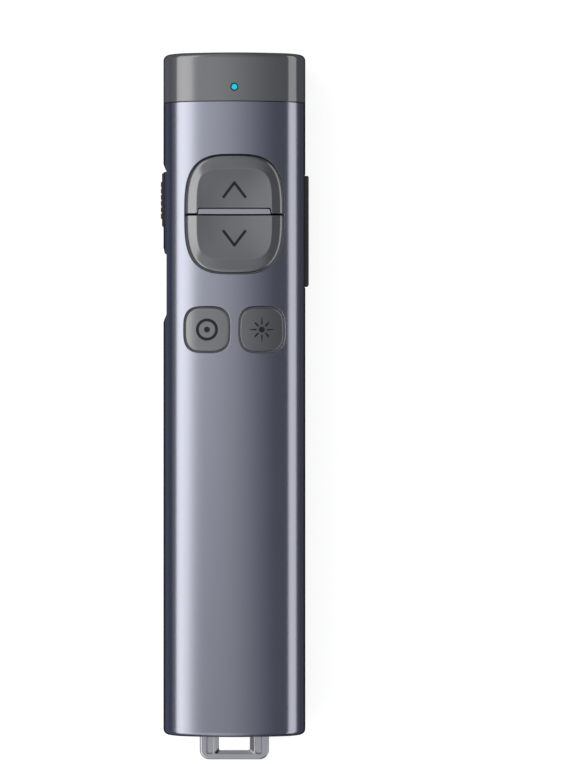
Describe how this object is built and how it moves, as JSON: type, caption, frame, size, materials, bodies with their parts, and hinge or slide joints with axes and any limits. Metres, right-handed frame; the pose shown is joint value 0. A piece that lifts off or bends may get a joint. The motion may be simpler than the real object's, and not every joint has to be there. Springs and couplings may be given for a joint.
{
  "type": "wireless presentation clicker",
  "caption": "Slim hand-held presentation remote with page keys, two small keys, a side power slider, a side volume rocker, a laser nose and a lanyard ring that slides out.",
  "frame": {"origin": "centre of the flat back face, at half the length of the casing", "axes": "+X across to the side with the volume rocker, +Y along the casing to the laser end, +Z out of the keys"},
  "size_m": [0.031, 0.1476, 0.0178],
  "materials": {
    "casing": "fine satin, blue grey anodised",
    "nose_grey": "satin gunmetal",
    "inner_black": "moulded, matt",
    "key_grey": "satin",
    "symbol_dark": "matt",
    "bar_grey": "satin",
    "side_black": "matt black",
    "ring_metal": "satin nickel",
    "board_green": "solder mask",
    "chip_black": "moulded",
    "switch_metal": "stamped",
    "plunger_ivory": "moulded",
    "ceramic_white": "fired",
    "steel": "plain",
    "brass": "turned",
    "lens_glass": "clear",
    "window_dark": "smoked",
    "light_blue": "clear, lit",
    "rim_blue": "dark",
    "led_body": "clear",
    "pouch": "laminated pouch",
    "tape": "foam tape",
    "wire_pair": "silicone insulation"
  },
  "bodies": {
    "casing": {"front_shell": "casing", "back_cover": "casing", "nose_cap": "nose_grey", "end_cap": "inner_black", "key_divider": "bar_grey", "key_frame": "inner_black", "page_up_switch": "chip_black", "page_down_switch": "chip_black", "spotlight_switch": "chip_black", "laser_switch": "chip_black", "power_switch": "switch_metal", "rocker_pin": "steel", "volume_up_switch": "switch_metal", "volume_down_switch": "switch_metal", "ring_guide": "inner_black", "main_board": "board_green", "board_screws": "steel", "radio_chip": "chip_black", "chip_antenna": "ceramic_white", "crystal": "switch_metal", "battery": "pouch", "battery_pad": "tape", "battery_leads": "wire_pair", "charge_board": "board_green", "charge_chip": "chip_black", "charge_leads": "wire_pair", "usb_c_shell": "steel", "usb_c_tongue": "chip_black", "laser_barrel": "brass", "laser_lens": "lens_glass", "laser_diode": "brass", "laser_leads": "brass", "nose_window": "window_dark", "status_board": "board_green", "status_led": "led_body", "status_light_pipe": "light_blue", "status_bezel": "rim_blue"},
    "page_up": {"page_up_key": "key_grey", "page_up_mark": "symbol_dark", "page_up_plunger": "plunger_ivory"},
    "page_down": {"page_down_key": "key_grey", "page_down_mark": "symbol_dark", "page_down_plunger": "plunger_ivory"},
    "spotlight": {"spotlight_key": "key_grey", "target_mark": "symbol_dark", "spotlight_plunger": "plunger_ivory"},
    "laser": {"laser_key": "key_grey", "star_mark": "symbol_dark", "laser_plunger": "plunger_ivory"},
    "slider": {"power_slider": "casing", "slider_grip": "side_black", "slider_carriage": "inner_black", "power_switch_lever": "chip_black"},
    "rocker": {"volume_rocker": "side_black"},
    "volume_up_pin": {"volume_up_plunger": "chip_black"},
    "volume_down_pin": {"volume_down_plunger": "chip_black"},
    "ring": {"lanyard_ring": "ring_metal"}
  },
  "joints": [
    {"name": "page_up_press", "type": "slide", "parent": "casing", "child": "page_up", "axis": [0, 0, -1], "range_m": [0, 0.0004], "stiffness_N_per_m": 3000},
    {"name": "page_down_press", "type": "slide", "parent": "casing", "child": "page_down", "axis": [0, 0, -1], "range_m": [0, 0.0004], "stiffness_N_per_m": 3000},
    {"name": "spotlight_press", "type": "slide", "parent": "casing", "child": "spotlight", "axis": [0, 0, -1], "range_m": [0, 0.0004], "stiffness_N_per_m": 3000},
    {"name": "laser_press", "type": "slide", "parent": "casing", "child": "laser", "axis": [0, 0, -1], "range_m": [0, 0.0004], "stiffness_N_per_m": 3000},
    {"name": "power_slide", "type": "slide", "parent": "casing", "child": "slider", "axis": [0, -1, 0], "range_m": [0, 0.006]},
    {"name": "volume_rock", "type": "hinge", "parent": "casing", "child": "rocker", "pos_m": [0.0123, 0.03433, 0.0082], "axis": [0, 0, 1], "range_deg": [-2, 2], "stiffness_Nm_per_rad": 0.3},
    {"name": "volume_up_follow", "type": "slide", "parent": "casing", "child": "volume_up_pin", "axis": [-1, 0, 0], "range_m": [-0.00027, 0.00027]},
    {"name": "volume_down_follow", "type": "slide", "parent": "casing", "child": "volume_down_pin", "axis": [-1, 0, 0], "range_m": [-0.00027, 0.00027]},
    {"name": "ring_slide", "type": "slide", "parent": "casing", "child": "ring", "axis": [0, 1, 0], "range_m": [0, 0.00515]}
  ],
  "couplings": [
    {"joint": "volume_up_follow", "follows": "volume_rock", "m_per_rad": 0.0075},
    {"joint": "volume_down_follow", "follows": "volume_rock", "m_per_rad": -0.0075}
  ]
}
